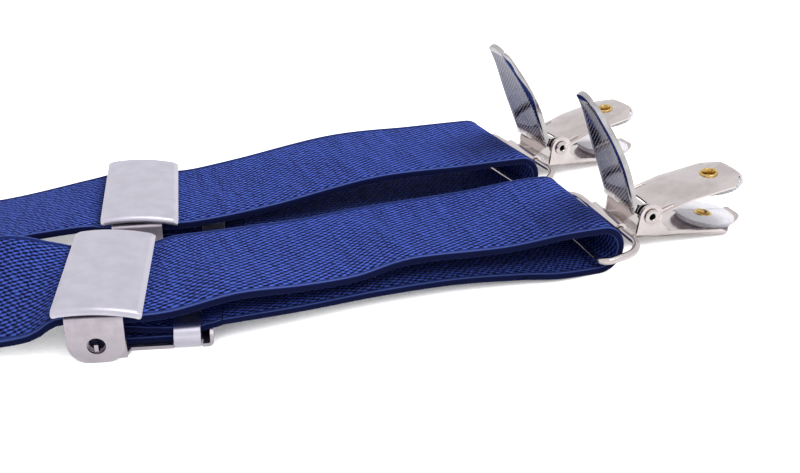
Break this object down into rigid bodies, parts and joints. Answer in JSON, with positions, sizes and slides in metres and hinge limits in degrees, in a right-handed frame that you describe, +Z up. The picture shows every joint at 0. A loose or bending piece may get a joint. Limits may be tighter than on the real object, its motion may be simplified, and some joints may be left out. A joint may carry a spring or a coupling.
{
  "type": "elastic clip suspenders",
  "caption": "Y-back elastic dress suspenders laid flat, with sliding lever adjusters, leather back patch and wire-ring jaw clips with padded grips.",
  "frame": {"origin": "on the ground, under the middle of the leather back patch's underside", "axes": "+X along the straps from the back patch to the front clips, +Y to the wearer's left, +Z up from the surface the suspenders lie on"},
  "size_m": [0.9348, 0.0982, 0.0426],
  "materials": {
    "webbing": "navy ribbed elastic weave",
    "leather": "smooth grained",
    "satin_nickel": "satin nickel plate",
    "bright_nickel": "bright nickel plate",
    "chrome": "polished, knurled face",
    "clear_plastic": "milky translucent",
    "brass": "polished"
  },
  "bodies": {
    "root": {"right_front_strap": "webbing", "left_front_strap": "webbing", "back_strap": "webbing", "patch_inner": "leather", "patch_outer": "leather", "right_adjuster_cover": "satin_nickel", "right_adjuster_frame": "satin_nickel", "left_adjuster_cover": "satin_nickel", "left_adjuster_frame": "satin_nickel"},
    "right_adjuster_lever": {"right_adjuster_lever": "satin_nickel", "right_end_crimp": "satin_nickel", "right_strap_end": "webbing"},
    "left_adjuster_lever": {"left_adjuster_lever": "satin_nickel", "left_end_crimp": "satin_nickel", "left_strap_end": "webbing"},
    "right_clip_ring": {"right_clip_ring": "bright_nickel"},
    "right_clip_base": {"right_clip_base": "bright_nickel", "right_clip_rivet": "bright_nickel", "right_clip_lower_pad": "clear_plastic", "right_clip_lower_eyelet": "brass"},
    "right_clip_jaw": {"right_clip_upper_jaw": "bright_nickel", "right_clip_upper_pad": "clear_plastic", "right_clip_upper_eyelet": "brass"},
    "right_clip_lever": {"right_clip_lever": "chrome"},
    "left_clip_ring": {"left_clip_ring": "bright_nickel"},
    "left_clip_base": {"left_clip_base": "bright_nickel", "left_clip_rivet": "bright_nickel", "left_clip_lower_pad": "clear_plastic", "left_clip_lower_eyelet": "brass"},
    "left_clip_jaw": {"left_clip_upper_jaw": "bright_nickel", "left_clip_upper_pad": "clear_plastic", "left_clip_upper_eyelet": "brass"},
    "left_clip_lever": {"left_clip_lever": "chrome"},
    "back_clip_ring": {"back_clip_ring": "bright_nickel"},
    "back_clip_base": {"back_clip_base": "bright_nickel", "back_clip_rivet": "bright_nickel", "back_clip_lower_pad": "clear_plastic", "back_clip_lower_eyelet": "brass"},
    "back_clip_jaw": {"back_clip_upper_jaw": "bright_nickel", "back_clip_upper_pad": "clear_plastic", "back_clip_upper_eyelet": "brass"},
    "back_clip_lever": {"back_clip_lever": "chrome"}
  },
  "joints": [
    {"name": "right_adjuster_hinge", "type": "hinge", "parent": "root", "child": "right_adjuster_lever", "pos_m": [0.512, -0.0232, 0.00425], "axis": [0.2233, 0.9748, 0], "range_deg": [0, 60]},
    {"name": "left_adjuster_hinge", "type": "hinge", "parent": "root", "child": "left_adjuster_lever", "pos_m": [0.5256, 0.0192, 0.00425], "axis": [0.165, 0.9863, 0], "range_deg": [0, 60]},
    {"name": "right_clip_ring_swing", "type": "hinge", "parent": "root", "child": "right_clip_ring", "pos_m": [0.6315, -0.0237, 0.0042], "axis": [0.0175, 0.9998, 0], "range_deg": [-40, 10]},
    {"name": "right_clip_base_swing", "type": "hinge", "parent": "right_clip_ring", "child": "right_clip_base", "pos_m": [0.6434, -0.02391, 0.0062], "axis": [0.0175, 0.9998, 0], "range_deg": [-25, 25]},
    {"name": "right_clip_lever_swing", "type": "hinge", "parent": "right_clip_base", "child": "right_clip_lever", "pos_m": [0.6517, -0.02405, 0.00965], "axis": [0.0175, 0.9998, 0], "range_deg": [0, 115]},
    {"name": "right_clip_jaw_close", "type": "hinge", "parent": "right_clip_base", "child": "right_clip_jaw", "pos_m": [0.6517, -0.02405, 0.00965], "axis": [0.0175, 0.9998, 0], "range_deg": [0, 21]},
    {"name": "left_clip_ring_swing", "type": "hinge", "parent": "root", "child": "left_clip_ring", "pos_m": [0.6313, 0.0242, 0.0042], "axis": [-0.1305, 0.9914, 0], "range_deg": [-40, 10]},
    {"name": "left_clip_base_swing", "type": "hinge", "parent": "left_clip_ring", "child": "left_clip_base", "pos_m": [0.6431, 0.02575, 0.0062], "axis": [-0.1305, 0.9914, 0], "range_deg": [-25, 25]},
    {"name": "left_clip_lever_swing", "type": "hinge", "parent": "left_clip_base", "child": "left_clip_lever", "pos_m": [0.65129, 0.02683, 0.00975], "axis": [-0.1305, 0.9914, 0], "range_deg": [0, 117]},
    {"name": "left_clip_jaw_close", "type": "hinge", "parent": "left_clip_base", "child": "left_clip_jaw", "pos_m": [0.65129, 0.02683, 0.00975], "axis": [-0.1305, 0.9914, 0], "range_deg": [0, 21]},
    {"name": "back_clip_ring_swing", "type": "hinge", "parent": "root", "child": "back_clip_ring", "pos_m": [-0.196, 0, 0.0042], "axis": [0, -1, 0], "range_deg": [-40, 10]},
    {"name": "back_clip_base_swing", "type": "hinge", "parent": "back_clip_ring", "child": "back_clip_base", "pos_m": [-0.2079, 0, 0.0062], "axis": [0, -1, 0], "range_deg": [-25, 25]},
    {"name": "back_clip_lever_swing", "type": "hinge", "parent": "back_clip_base", "child": "back_clip_lever", "pos_m": [-0.21621, 0, 0.00965], "axis": [0, -1, 0], "range_deg": [0, 115]},
    {"name": "back_clip_jaw_close", "type": "hinge", "parent": "back_clip_base", "child": "back_clip_jaw", "pos_m": [-0.21621, 0, 0.00965], "axis": [0, -1, 0], "range_deg": [0, 21]}
  ],
  "couplings": [
    {"joint": "right_clip_jaw_close", "follows": "right_clip_lever_swing", "ratio": 0.18261},
    {"joint": "left_clip_jaw_close", "follows": "left_clip_lever_swing", "ratio": 0.17949},
    {"joint": "back_clip_jaw_close", "follows": "back_clip_lever_swing", "ratio": 0.18261}
  ]
}
